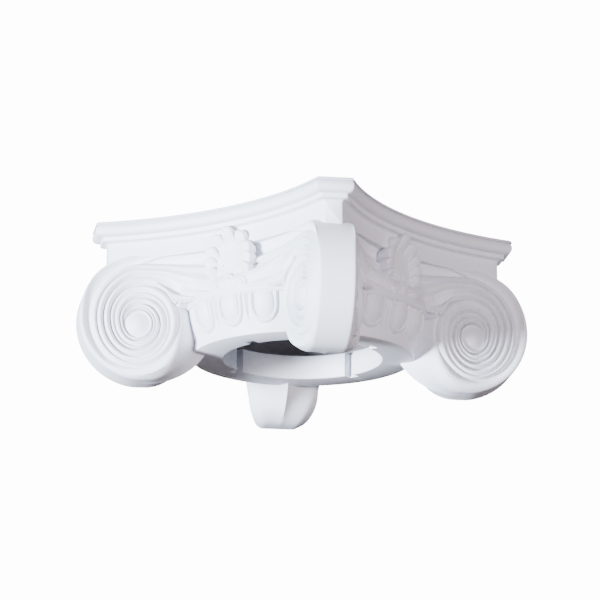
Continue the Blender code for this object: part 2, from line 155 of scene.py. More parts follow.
def sheet(name: str, columns: int, rows: int, place: Place) -> bpy.types.Object:
    """Grid laid on a carved surface.

    Args:
        name: What to call it.
        columns: Spaces along the first direction.
        rows: Spaces along the second direction.
        place: Gives a point in millimetres for a column and a row, each as a share from 0 to 1.

    Returns:
        The open sheet.
    """
    deselect_all()
    bpy.ops.mesh.primitive_grid_add(x_subdivisions=columns, y_subdivisions=rows, size=2.0)
    piece = named(name)
    known: dict[tuple[int, int], Point] = {}
    for vert in piece.data.vertices:
        key = (round((vert.co.x + 1.0) * 0.5 * columns), round((vert.co.y + 1.0) * 0.5 * rows))
        if key not in known:
            known[key] = place(key[0] / columns, key[1] / rows)
        vert.co = Vector(known[key]) * MM
    return piece


def petal(name: str, around: int, along: int, place: Place) -> bpy.types.Object:
    """Closed rounded form drawn out from a ball.

    Args:
        name: What to call it.
        around: Segments round it.
        along: Rings from root to tip.
        place: Gives a point in millimetres for a share along it and an angle round it.

    Returns:
        The closed piece.
    """
    deselect_all()
    bpy.ops.mesh.primitive_uv_sphere_add(segments=around, ring_count=along, radius=1.0)
    piece = named(name)
    for vert in piece.data.vertices:
        share = math.acos(max(-1.0, min(1.0, -vert.co.z))) / math.pi
        vert.co = Vector(place(share, math.atan2(vert.co.y, vert.co.x))) * MM
    return piece


def turned(name: str, profile: Sequence[tuple[float, float]], steps: int) -> bpy.types.Object:
    """Closed ring turned about the axis.

    Args:
        name: What to call it.
        profile: Closed section as radius and height.
        steps: Facets round the axis.

    Returns:
        The turned piece.
    """
    deselect_all()
    bpy.ops.mesh.primitive_circle_add(vertices=len(profile), radius=1.0, fill_type="NOTHING")
    piece = named(name)
    for vert, (radius, z) in zip(piece.data.vertices, profile):
        vert.co = Vector((radius, 0.0, z)) * MM
    bpy.ops.object.mode_set(mode="EDIT")
    bpy.ops.mesh.select_all(action="SELECT")
    bpy.ops.mesh.spin(steps=steps, angle=2.0 * math.pi, center=(0.0, 0.0, 0.0),
                      axis=(0.0, 0.0, 1.0))
    bpy.ops.mesh.select_all(action="SELECT")
    bpy.ops.mesh.remove_doubles(threshold=0.004 * MM)
    bpy.ops.mesh.normals_make_consistent(inside=False)
    bpy.ops.object.mode_set(mode="OBJECT")
    return piece


def drawn_up(name: str, outlines: Sequence[Sequence[Point]]) -> bpy.types.Object:
    """Slab extruded upward through a run of outlines.

    Args:
        name: What to call it.
        outlines: Loops of points that go once round the axis, lowest first.

    Returns:
        The closed slab.
    """
    deselect_all()
    bpy.ops.mesh.primitive_circle_add(vertices=len(outlines[0]), radius=1.0, fill_type="NGON")
    piece = named(name)
    bpy.ops.object.mode_set(mode="EDIT")
    bpy.ops.mesh.select_all(action="SELECT")
    for index, outline in enumerate(outlines):
        if index:
            bpy.ops.mesh.extrude_region_move(TRANSFORM_OT_translate={"value": (0.0, 0.0, MM)})
        form = bmesh.from_edit_mesh(piece.data)
        rim = sorted((v for v in form.verts if v.select),
                     key=lambda v: math.atan2(v.co.y, v.co.x))
        ordered = sorted(outline, key=lambda p: math.atan2(p[1], p[0]))
        for vert, point in zip(rim, ordered):
            vert.co = Vector(point) * MM
        bmesh.update_edit_mesh(piece.data)
    bpy.ops.mesh.select_all(action="SELECT")
    bpy.ops.mesh.normals_make_consistent(inside=False)
    bpy.ops.object.mode_set(mode="OBJECT")
    return piece


def joined(name: str, pieces: Sequence[bpy.types.Object], weld: bool) -> bpy.types.Object:
    """Joins pieces into one mesh.

    Args:
        name: What to call it.
        pieces: Pieces with meshes of their own.
        weld: Whether their rims meet and are closed.

    Returns:
        The joined piece.
    """
    piece = pick(pieces)
    bpy.ops.object.join()
    piece.name = name
    piece.data.name = name
    if weld:
        bpy.ops.object.mode_set(mode="EDIT")
        bpy.ops.mesh.select_all(action="SELECT")
        bpy.ops.mesh.remove_doubles(threshold=0.006 * MM)
        bpy.ops.mesh.dissolve_degenerate(threshold=0.004 * MM)
        bpy.ops.mesh.select_all(action="SELECT")
        bpy.ops.mesh.normals_make_consistent(inside=False)
        bpy.ops.object.mode_set(mode="OBJECT")
    return piece


def copied(source: bpy.types.Object, quarter: int, mirrored: bool = False) -> bpy.types.Object:
    """Copy of a piece, turned about the axis.

    Args:
        source: The piece modelled once.
        quarter: Quarter turns about the axis.
        mirrored: Whether it is first mirrored in the (+X, -Y) diagonal.

    Returns:
        A piece with its own mesh.
    """
    piece = source.copy()
    piece.data = source.data.copy()
    bpy.context.scene.collection.objects.link(piece)
    flip = Matrix(((0, -1, 0, 0), (-1, 0, 0, 0), (0, 0, 1, 0), (0, 0, 0, 1)))
    move = Matrix.Rotation(quarter * math.pi / 2.0, 4, "Z")
    if mirrored:
        piece.data.transform(move @ flip)
        piece.data.flip_normals()
    else:
        piece.data.transform(move)
    return piece


def merged(target: bpy.types.Object, tools: Sequence[bpy.types.Object],
           operation: str) -> bpy.types.Object:
    """Joins or cuts a piece with each tool and deletes the tools.

    Args:
        target: The piece that is kept.
        tools: Closed pieces.
        operation: UNION or DIFFERENCE.

    Returns:
        The target.
    """
    pick([target])
    for tool in tools:
        change = target.modifiers.new(operation.lower(), "BOOLEAN")
        change.operation = operation
        change.solver = "MANIFOLD"
        change.object = tool
        bpy.ops.object.modifier_apply(modifier=change.name)
        bpy.data.objects.remove(tool, do_unlink=True)
    return target


# Finish


def linear(code: str) -> tuple[float, float, float, float]:
    """Linear colour of an sRGB hex value."""
    parts = [int(code[i:i + 2], 16) / 255.0 for i in (1, 3, 5)]
    return tuple(c / 12.92 if c <= 0.04045 else ((c + 0.055) / 1.055) ** 2.4
                 for c in parts) + (1.0,)


def add_node(tree: bpy.types.NodeTree, kind: str, settings: dict[str, object] | None = None,
             links: dict[str | int, object] | None = None) -> bpy.types.Node:
    """Adds a node with its settings and links.

    Args:
        tree: The node tree.
        kind: Blender's name for the node.
        settings: Properties of the node.
        links: Input name or number to a value, or to a socket that feeds it.

    Returns:
        The node.
    """
    node = tree.nodes.new(kind)
    for key, value in (settings or {}).items():
        setattr(node, key, value)
    for key, value in (links or {}).items():
        if isinstance(value, bpy.types.NodeSocket):
            tree.links.new(value, node.inputs[key])
        else:
            node.inputs[key].default_value = value
    return node


@dataclass(frozen=True)
class WhiteCasting:
    """Filled polymer casting, primed white: matt and dense, with a faint orange-peel skin."""

    name: str = "primed white casting"
    face: str = "#E0E3E8"        # primed skin
    shade: str = "#DDE0E6"       # where the primer lies thin
    painted_shade_inside: str = "#8B8489"         # painted shade: the hollow inside is coloured dark to stand in for the shade that falls in it
    patch: float = 38.0          # millimetres between thin places
    peel: float = 1.3            # grain of the skin, drawn twice as coarse as real so that it shows
    roughness: float = 0.58
    bore: float = 92.4           # the painted shade darkens the inside within this radius
    ledge: float = 53.9          # and between these two heights
    crown: float = 140.6

    def material(self) -> bpy.types.Material:
        """Makes the material.

        Returns:
            The material.
        """
        material = bpy.data.materials.new(self.name)
        material.use_nodes = True
        tree = material.node_tree
        shader = tree.nodes["Principled BSDF"]
        shader.inputs["Roughness"].default_value = self.roughness
        shader.inputs["IOR"].default_value = 1.49
        spot = add_node(tree, "ShaderNodeTexCoord").outputs["Object"]
        patch = add_node(tree, "ShaderNodeTexNoise", links={
            "Vector": spot, "Scale": 1.0 / (self.patch * MM), "Detail": 3.0, "Roughness": 0.6})
        skin = add_node(tree, "ShaderNodeMix", {"data_type": "RGBA"}, {
            0: patch.outputs["Fac"], 6: linear(self.face), 7: linear(self.shade)})
        parts = add_node(tree, "ShaderNodeSeparateXYZ", links={0: spot})
        flat = add_node(tree, "ShaderNodeCombineXYZ", links={
            0: parts.outputs[0], 1: parts.outputs[1], 2: 0.0})
        radius = add_node(tree, "ShaderNodeVectorMath", {"operation": "LENGTH"},
                          {0: flat.outputs[0]})
        # Painted shade: inside the bore radius and between the two heights, the colour turns dark
        # to stand in for the shade in the hollow.
        inside = add_node(tree, "ShaderNodeMath", {"operation": "LESS_THAN"},
                          {0: radius.outputs["Value"], 1: self.bore * MM})
        above = add_node(tree, "ShaderNodeMath", {"operation": "GREATER_THAN"},
                         {0: parts.outputs[2], 1: self.ledge * MM})
        below = add_node(tree, "ShaderNodeMath", {"operation": "LESS_THAN"},
                         {0: parts.outputs[2], 1: self.crown * MM})
        height = add_node(tree, "ShaderNodeMath", {"operation": "MULTIPLY"},
                          {0: above.outputs[0], 1: below.outputs[0]})
        hollow = add_node(tree, "ShaderNodeMath", {"operation": "MULTIPLY"},
                          {0: inside.outputs[0], 1: height.outputs[0]})
        colour = add_node(tree, "ShaderNodeMix", {"data_type": "RGBA"}, {
            0: hollow.outputs[0], 6: skin.outputs[2], 7: linear(self.painted_shade_inside)})
        grain = add_node(tree, "ShaderNodeTexNoise", links={
            "Vector": spot, "Scale": 1.0 / (self.peel * MM), "Detail": 4.0, "Roughness": 0.55})
        bump = add_node(tree, "ShaderNodeBump", links={
            "Height": grain.outputs["Fac"], "Strength": 0.22, "Distance": 0.12 * MM})
        tree.links.new(colour.outputs[2], shader.inputs["Base Color"])
        tree.links.new(bump.outputs["Normal"], shader.inputs["Normal"])
        return material


# The face of one side


@dataclass
class Face:
    """Hollow face between two volutes, bent about an upright axis in front of it."""

    middle: float = 106.0        # axis to the floor at the middle of a side
    radius: float = 195.3
    lip: float = 121.9           # axis to the lip of the echinus, which the floor leans out to
    lean_top: float = 105.0      # height where the lean starts
    lean_fall: float = 30.0      # how far below that it is whole

    def lean(self, s: float, z: float) -> float:
        """How far the floor leans out above the lip.

        Args:
            s: Distance along the face from its middle.
            z: Height.

        Returns:
            The distance it leans out.
        """
        a = s / self.radius
        plain = self.middle + self.radius * (1.0 - math.cos(a))
        lip = math.sqrt(max(0.0, self.lip ** 2 - (self.radius * math.sin(a)) ** 2))
        gap = max(0.0, lip - plain)
        return gap * step((gap + 0.8) / 3.0) * step((self.lean_top - z) / self.lean_fall)

    def point(self, s: float, z: float, h: float = 0.0) -> Point:
        """Point on the -Y face: s along it, z up, h out of it.

        Args:
            s: Distance along the face from its middle.
            z: Height.
            h: Distance out of it.

        Returns:
            The point.
        """
        radius = self.radius - h - self.lean(s, z)
        a = s / self.radius
        return (radius * math.sin(a), radius * math.cos(a) - self.middle - self.radius, z)


def diagonal(reach: float, half: float, z: float) -> Point:
    """Point by its reach along the (+X, -Y) diagonal and its offset toward the -Y face."""
    c = math.sqrt(0.5)
    return ((reach - half) * c, (-reach - half) * c, z)


class Fillet(Enum):
    """The three sunk lines that run round a volute, outermost first."""

    DEEP = "deep"
    THIN = "thin"
    LOW = "low"


@dataclass
class Volute:
    """Half of a corner volute, with the half channel that leads to the middle of the side."""

    face: Face
    eye_s: float = 103.2         # eye along the face from the middle of the side
    eye_z: float = 52.9
    eye_radius: float = 12.0
    eye_rise: float = 3.7
    crown_edge: float = 66.6     # eye to the top edge of the face
    edge_inset: float = 2.4      # rounding between the face and the outer band
    foot_flat: float = 0.6       # how much the underside is flattened to stand on
    # Radius of each sunk line at every quarter turn, from the crown to the eye
    deep: tuple[float, ...] = (61.5, 45.6, 42.0, 39.6, 39.2, 25.2, 24.5, 21.6, 20.1,
                               13.4, 12.9, 12.5, 12.0)
    thin: tuple[float, ...] = (55.8, 38.5, 37.5, 32.6, 31.7, 21.4, 21.0, 18.0, 17.0,
                               12.9, 12.6, 12.3, 12.0)
    low: tuple[float, ...] = (48.2, 32.1, 31.0, 28.2, 26.6, 16.1, 16.0, 14.9, 14.0,
                              12.5, 12.3, 12.15, 12.0)
    # Heights of the channel's lines at each quarter of the way to the middle of the side
    top_middle: float = 122.5
    deep_heights: tuple[float, ...] = (112.6, 110.0, 108.6, 108.0)
    thin_heights: tuple[float, ...] = (106.8, 102.2, 98.4, 97.0)
    low_heights: tuple[float, ...] = (98.3, 86.4, 78.4, 76.6)
    foot_heights: tuple[float, ...] = (71.4, 71.6, 72.8, 74.5)
    rib_cut: float = 3.2         # depth of the low line once it has left the volute
    hubs: tuple[float, float] = (124.5, 71.5)  # where the lid and the floor close on the axis
    turns: float = 12.0          # quarter turns from the crown to the eye
    spokes: int = 64             # in one turn
    rows: tuple[int, int, int] = (6, 7, 6)     # across the three strips between sunk lines
    outer_rows: int = 9
    eye_rows: int = 9
    band_rows: int = 12
    middle_columns: int = 30     # of the channel, past the curl
    cove: float = 4.5            # depth of the wide channel in the first turn
    deep_cut: float = 4.7
    thin_cut: float = 2.8        # in the first half turn; less than half of it after
    low_cut: float = 4.0
    ridge: float = 1.7
    band_half: float = 17.7      # half the width of the outer band
    band_flat: float = 2.6       # rounding of its edge
    band_reach: float = 218.5    # axis to its outermost point, along the diagonal
    band_centre: float = 156.0   # reach of its lowest and highest points
    band_inner: float = 70.0
    band_middle: float = 62.0    # height of its outermost point
    curl: float = 3.25           # quarter turn where the volute passes the lip

    def line(self, fillet: Fillet, t: float) -> float:
        """Radius of a sunk line at quarter turn t, never inside the eye."""
        values = {Fillet.DEEP: self.deep, Fillet.THIN: self.thin, Fillet.LOW: self.low}[fillet]
        return max(self.eye_radius, smooth(values, t))

    def angle(self, t: float) -> float:
        """Direction of a spoke: quarter turn 0 is up, 1 outward, 2 down and 3 inward."""
        return math.pi / 2.0 - t * math.pi / 2.0

    def polar(self, angle: float, radius: float, h: float) -> Point:
        """Point on the face by direction and distance from the eye."""
        return self.face.point(self.eye_s + radius * math.cos(angle),
                               self.eye_z + radius * math.sin(angle), h)

    def eye_reach(self) -> float:
        """Reach of the eye along the diagonal."""
        x, y, _ = self.face.point(self.eye_s, self.eye_z)
        return (x - y) * math.sqrt(0.5)

    def outline(self, angle: float) -> float:
        """Distance from the eye to the outline of the volute in the diagonal plane.

        Args:
            angle: Direction from the eye.

        Returns:
            The distance.
        """
        start = self.eye_reach()
        near, far = 10.0, 150.0
        for _ in range(36):
            radius = 0.5 * (near + far)
            across = start + radius * math.cos(angle) - self.band_centre
            up = (self.eye_z + radius * math.sin(angle) - self.band_middle) / self.band_middle
            side = self.band_reach - self.band_centre if across > 0 else self.band_inner
            if (across / side) ** 2 + up ** 2 < 1.0:
                near = radius
            else:
                far = radius
        return near

    def edge(self, t: float) -> float:
        """Radius of the outer edge of the face; it runs into the deep line at quarter turn 3.

        Args:
            t: Quarter turns from the crown.

        Returns:
            The radius.
        """
        groove = self.line(Fillet.DEEP, t)
        band = self.outline(self.angle(t)) - self.edge_inset
        top = step(1.0 - t / 0.9)
        inner = step((t - 1.9) / 1.0)
        closing = groove + 1.4 * (1.0 - step((t - 2.2) / 0.8))
        return band + (self.crown_edge - band) * top + (closing - band) * inner

    def early(self, t: float) -> float:
        """How much a spoke belongs to the wide first turn, 1 to 0."""
        return 1.0 - step((t - 1.7) / 1.2)

    def deep_depth(self, t: float) -> float:
        """Depth of the deep line."""
        return mix(self.deep_cut, self.cove, self.early(t)) * (1.0 - 0.66 * step((t - 7.0) / 3.0))

    def row_share(self, v: float) -> tuple[int, float]:
        """Which strip a row share falls in, and the share across that strip.

        Args:
            v: Share across all three strips.

        Returns:
            The strip's number, and the share across it.
        """
        total = sum(self.rows)
        count = v * total
        for strip, rows in enumerate(self.rows):
            if count <= rows + 1e-6:
                return strip, min(1.0, count / rows)
            count -= rows
        return 2, 1.0

    def relief(self, t: float, strip: int, u: float) -> float:
        """Height of the face between two sunk lines.

        Args:
            t: Quarter turn.
            strip: 0 from the deep line inward, then 1 and 2.
            u: Share across the strip.

        Returns:
            Height out of the face.
        """
        fade = 1.0 - step((t - 8.0) / 1.3)
        first, last = -self.deep_depth(t), -self.deep_depth(t + 4.0)
        thin = self.thin_cut * mix(1.0, 0.42, step((t - 1.0) / 1.5))
        middle = 0.5 * (first + last)
        cuts = (first, mix(middle, -thin, fade), mix(middle, -self.low_cut, fade), last)
        start, end = cuts[strip], cuts[strip + 1]
        ridge = mix(start, end, u)
        ridge += (self.ridge - ridge) * fade * (1.0 - (2.0 * u - 1.0) ** 2)
        if strip:
            return ridge
        crest = 0.70
        if u < crest:
            wide = mix(start, 0.6 * self.ridge, step(u / crest))
        else:
            wide = mix(0.6 * self.ridge, end, ((u - crest) / (1.0 - crest)) ** 2.2)
        return mix(ridge, wide, self.early(t))

    def spiral(self, f: float, v: float) -> Point:
        """Point of the coiled sheet: three turns from the crown to the eye.

        Args:
            f: Share along it, from 0 to 1.
            v: Share across the three strips.

        Returns:
            The point.
        """
        t = self.turns * f
        strip, u = self.row_share(v)
        lines = (self.line(Fillet.DEEP, t), self.line(Fillet.THIN, t), self.line(Fillet.LOW, t),
                 self.line(Fillet.DEEP, t + 4.0))
        radius = mix(lines[strip], lines[strip + 1], u)
        return self.polar(self.angle(t), radius, self.relief(t, strip, u))

    def cove_height(self, t: float, w: float) -> float:
        """Height across the outer band of the first turn, w from its edge to the deep line.

        Args:
            t: Quarter turns from the crown.
            w: Share across it, from 0 to 1.

        Returns:
            The height out of the face.
        """
        depth = self.deep_depth(t)
        x = max(0.0, (w - 0.10) / 0.90)
        dish = -depth * (1.0 - (1.0 - x) ** 2)
        roll = 0.6 - 2.2 * (1.0 - w) ** 2 - (depth + 0.6) * w ** 4
        height = mix(dish, roll, step((t - 1.25) / 0.8))
        return mix(height, -depth, step((t - 2.4) / 0.6))

    def outer(self, f: float, w: float) -> Point:
        """Point of the outer band of the face.

        Args:
            f: Share along it, from 0 to 1.
            w: Share across it, from 0 to 1.

        Returns:
            The point.
        """
        t = 3.0 * f
        radius = mix(self.edge(t), self.line(Fillet.DEEP, t), w)
        return self.polar(self.angle(t), radius, self.cove_height(t, w))

    def eye(self, f: float, w: float) -> Point:
        """Point of the eye, w from its edge to its middle.

        Args:
            f: Share of a turn.
            w: Share across it, from 0 to 1.

        Returns:
            The point.
        """
        radius = self.eye_radius * (1.0 - w)
        rim = -self.deep_depth(16.0)
        h = rim + (self.eye_rise - rim) * (1.0 - (1.0 - w) ** 2.0)
        return self.polar(self.angle(4.0 * f), radius, h)

    def band(self, f: float, w: float) -> Point:
        """Point of the outer band or barrel, w from the face to the diagonal plane.

        Args:
            f: Share along it, from 0 to 1.
            w: Share across it, from 0 to 1.

        Returns:
            The point.
        """
        t = self.curl * f
        angle = self.angle(t)
        rim = self.edge(t) if t < 3.0 else self.line(Fillet.DEEP, t)
        start = self.polar(angle, rim, self.cove_height(min(t, 3.0), 0.0))
        out = self.outline(angle)
        reach = self.eye_reach() + out * math.cos(angle)
        z = max(0.0, self.eye_z + out * math.sin(angle) - self.foot_flat)
        crease = diagonal(reach, 0.0, z)
        shoulder = diagonal(reach, self.band_half, z)
        flat = diagonal(reach, self.band_half - self.band_flat, z)
        if w < 0.36:
            u = w / 0.36
            plain = blend(blend(start, shoulder, u), blend(shoulder, flat, u), u)
        else:
            plain = blend(flat, crease, (w - 0.36) / 0.64)
        inner = step((t - 1.9) / 0.9)
        if inner <= 0.0:
            return plain
        roll = through((start,
                        blend(self.polar(angle, rim + 2.4, -7.0), crease, 0.12),
                        blend(self.polar(angle, rim + 1.5, -14.0), crease, 0.45),
                        crease), w)
        return blend(plain, roll, inner)

    def channel_columns(self) -> tuple[int, int]:
        """Columns of the channel along the curl of the volute, and in all."""
        along = round((4.0 - self.curl) * self.spokes / 4.0)
        return along, along + self.middle_columns

    def channel_share(self, f: float) -> tuple[float, float, float]:
        """Share along the channel at its top, and the foot's place in s and z.

        Args:
            f: Share along it, from 0 to 1.

        Returns:
            The share at the top, and the foot's s and z.
        """
        along, total = self.channel_columns()
        c = f * total
        if c <= along:
            t = 4.0 - (4.0 - self.curl) * c / along
            radius = self.line(Fillet.DEEP, t)
            angle = self.angle(t)
            return (0.42 * c / along, self.eye_s + radius * math.cos(angle),
                    self.eye_z + radius * math.sin(angle))
        g = (c - along) / (total - along)
        angle = self.angle(self.curl)
        radius = self.line(Fillet.DEEP, self.curl)
        start = self.eye_s + radius * math.cos(angle)
        low = self.eye_z + radius * math.sin(angle)
        z = mix(low, smooth(self.foot_heights, 3.0 * g), step(g / 0.12))
        return 0.42 + 0.58 * g, start * (1.0 - g), z

    def rails(self, p: float) -> tuple[float, ...]:
        """Heights of the top edge and the deep, thin and low lines at share p to the middle.

        Args:
            p: Share of the way from the eye to the middle of the side.

        Returns:
            The four heights, highest first.
        """
        top = mix(self.eye_z + self.crown_edge, self.top_middle, p)
        deep = smooth((self.eye_z + self.deep[0],) + self.deep_heights, 4 * p)
        thin = smooth((self.eye_z + self.thin[0],) + self.thin_heights, 4 * p)
        low = smooth((self.eye_z + self.low[0],) + self.low_heights, 4 * p)
        return (top, deep, thin, low)

    def channel_top(self, f: float, w: float) -> Point:
        """Point of the channel between the abacus and its deep line.

        Args:
            f: Share along it, from 0 to 1.
            w: Share across it, from 0 to 1.

        Returns:
            The point.
        """
        p, _, _ = self.channel_share(f)
        rails = self.rails(p)
        s = self.eye_s * (1.0 - p)
        z = mix(rails[0], rails[1], w)
        return self.face.point(s, z, self.cove_height(0.0, w))

    def channel_low(self, f: float, v: float) -> Point:
        """Point of the channel from its deep line down to the volute or the lip.

        Args:
            f: Share along it, from 0 to 1.
            v: Share across the three strips.

        Returns:
            The point.
        """
        p, foot_s, foot_z = self.channel_share(f)
        rails = self.rails(p)
        s = self.eye_s * (1.0 - p)
        strip, u = self.row_share(v)
        near = step(p / 0.10)
        if strip < 2:
            z = mix(rails[strip + 1], rails[strip + 2], u)
            h = self.relief(0.0, strip, u)
            if strip == 0:
                h += 1.2 * near * step(u / 0.7) * step((1.0 - u) / 0.25)
            else:
                wide = mix(-self.thin_cut, -self.rib_cut, u)
                wide += (2.4 - wide) * (1.0 - (2.0 * u - 1.0) ** 2)
                h = mix(h, wide, near)
                h -= 1.5 * step((p - 0.30) / 0.2) * math.exp(-((u - 0.27) / 0.09) ** 2)
            return self.face.point(s, z, h)
        s, z = mix(s, foot_s, u), mix(rails[3], foot_z, u)
        along, total = self.channel_columns()
        on_curl = f * total <= along + 0.01
        end = -self.deep_depth(4.0) if on_curl else mix(-self.deep_depth(4.0), -0.6,
                                                        step((f * total - along) / 3.0))
        start = -mix(self.low_cut, self.rib_cut, near)
        crest = mix(self.ridge, 0.5, near)
        h = mix(start, end, u)
        h += (crest - h) * (1.0 - (2.0 * u - 1.0) ** 2)
        if near > 0.0:
            late = mix(start, end, step(u / 0.35)) if on_curl else mix(start, -0.2, step(u / 0.3))
            rise = mix(h, late, near * step((p - 0.1) / 0.3))
            h = mix(rise, end, step((u - 0.85) / 0.15))
        return self.face.point(s, z, h)

    def rim_top(self, k: int, band: int) -> Point:
        """Point k of the upper rim: the channel from the middle, then the band at the crown.

        Args:
            k: Number of the point.
            band: Rows of the outer band.

        Returns:
            The point.
        """
        _, total = self.channel_columns()
        if k <= total:
            return self.channel_top(1.0 - k / total, 0.0)
        return self.band(0.0, (k - total) / band)

    def rim_low(self, k: int, band: int) -> Point:
        """Point k of the lower rim: the lip line from the middle, then the barrel.

        Args:
            k: Number of the point.
            band: Rows of the outer band.

        Returns:
            The point.
        """
        along, total = self.channel_columns()
        if k <= total - along:
            return self.channel_low(1.0 - k / total, 1.0)
        return self.band(1.0, (k - total + along) / band)

    def half(self) -> bpy.types.Object:
        """Models one half volute with half of its side's channel.

        Returns:
            The open half.
        """
        along, total = self.channel_columns()
        rows = sum(self.rows)
        band, outer = self.band_rows, self.outer_rows
        lid = total + band
        foot = total - along + band
        turns = self.spokes * 3
        hub_high, hub_low = ((0.0, 0.0, height) for height in self.hubs)
        parts = [
            sheet("spiral", turns, rows, self.spiral),
            sheet("outer", self.spokes * 3 // 4, outer, self.outer),
            sheet("eye", self.spokes, self.eye_rows, self.eye),
            sheet("band", round(self.curl * self.spokes / 4.0), band, self.band),
            sheet("channel_top", total, outer, self.channel_top),
            sheet("channel_low", total, rows, self.channel_low),
            sheet("lid", lid, 1, lambda f, w: hub_high if w > 0.5 else
                  self.rim_top(round(f * lid), band)),
            sheet("floor", foot, 1, lambda f, w: hub_low if w > 0.5 else
                  self.rim_low(round(f * foot), band)),
        ]
        return joined("half_volute", parts, True)


@dataclass
class Scrolls:
    """Four corner volutes with the channels between them."""

    volute: Volute

    def build(self) -> bpy.types.Object:
        """Models one half and copies it round the capital.

        Returns:
            The closed scrolls.
        """
        half = self.volute.half()
        parts = [copied(half, quarter, side == 1) for quarter in range(SIDES) for side in (0, 1)]
        bpy.data.objects.remove(half, do_unlink=True)
        return joined("scrolls", parts, True)


# Abacus


@dataclass
class Abacus:
    """Moulded slab with hollow sides and clipped corners."""

    height: float = 154.6
    fascia_mid: float = 113.5
    side_radius: float = 317.0
    corner_reach: float = 190.8
    fascia_top: float = 133.7
    fascia_bottom: float = 118.5
    corner_bottom: float = 111.0
    rounding: float = 0.9        # from the arris of a clipped corner to where its rounding starts
    clip: float = 0.62           # the same along the clipped corner, in x and in y
    pull_in: float = 0.9985      # how far the arris itself is drawn in
    ovolo_out: float = 8.3       # middle of the ovolo's round, out of the fascia
    ovolo_z: float = 146.6
    ovolo_wide: float = 4.8
    ovolo_tall: float = 5.8
    steps: int = 34

    def outline(self, out: float, z: float, corner_z: float) -> list[Point]:
        """Corners of the outline set out from the fascia.

        Args:
            out: Distance outside the fascia.
            z: Height along the sides.
            corner_z: Height at the corners.

        Returns:
            Points once round the axis.
        """
        centre = self.fascia_mid + self.side_radius
        radius = self.side_radius - out
        reach = self.corner_reach + out
        end = math.pi / 4 + math.asin((math.sqrt(2) * reach - centre) / (math.sqrt(2) * radius))
        ring = []
        for quarter in range(SIDES):
            side = []
            for k in range(self.steps + 1):
                u = 2.0 * k / self.steps - 1.0
                level = mix(z, corner_z, step((abs(u) - 0.55) / 0.3))
                a = u * end
                side.append((radius * math.sin(a), radius * math.cos(a) - centre, level))
            for index, way in ((0, 1), (-1, -1)):
                x, y, level = side[index]
                near = side[index + way]
                inside = blend((x, y, level), near, self.rounding / math.dist((x, y), near[:2]))
                pull = (x * self.pull_in, y * self.pull_in, level)
                clip = (x - way * self.clip, y + self.clip, level)
                if index == 0:
                    side[0:1] = [clip, pull, inside]
                else:
                    side[-1:] = [inside, pull, clip]
            for x, y, level in side:
                for _ in range(quarter):
                    x, y = -y, x
                ring.append((x, y, level))
        return ring

    def profile(self) -> list[tuple[float, float]]:
        """Section above the fascia: cavetto, fillet and ovolo, as distance out and height.

        Returns:
            The points, lowest first.
        """
        top = self.fascia_top
        points = [(0.0, top - 0.2), (0.15, top + 0.6), (0.6, top + 1.2), (1.5, top + 1.8),
                  (3.0, top + 2.3), (4.9, top + 2.5), (5.5, top + 2.6), (5.8, top + 3.0),
                  (5.8, top + 6.2), (6.0, top + 6.6), (6.6, top + 6.8), (8.2, top + 7.0)]
        for k in range(1, 11):
            a = math.radians(-72.0 + k * 14.0)
            points.append((self.ovolo_out + self.ovolo_wide * math.cos(a),
                           self.ovolo_z + self.ovolo_tall * math.sin(a)))
        points += [(12.9, 151.4), (12.6, 152.9), (11.9, 153.9), (10.9, 154.4), (9.8, self.height)]
        return points

    def build(self) -> bpy.types.Object:
        """Models the slab.

        Returns:
            The closed slab.
        """
        foot = self.outline(0.0, self.fascia_bottom, self.corner_bottom)
        inner = [(0.7 * x, 0.7 * y, self.fascia_bottom) for x, y, _ in foot]
        outlines = [inner, foot]
        outlines += [self.outline(out, z, z) for out, z in self.profile()]
        return drawn_up("abacus", outlines)


# Neck ring and echinus


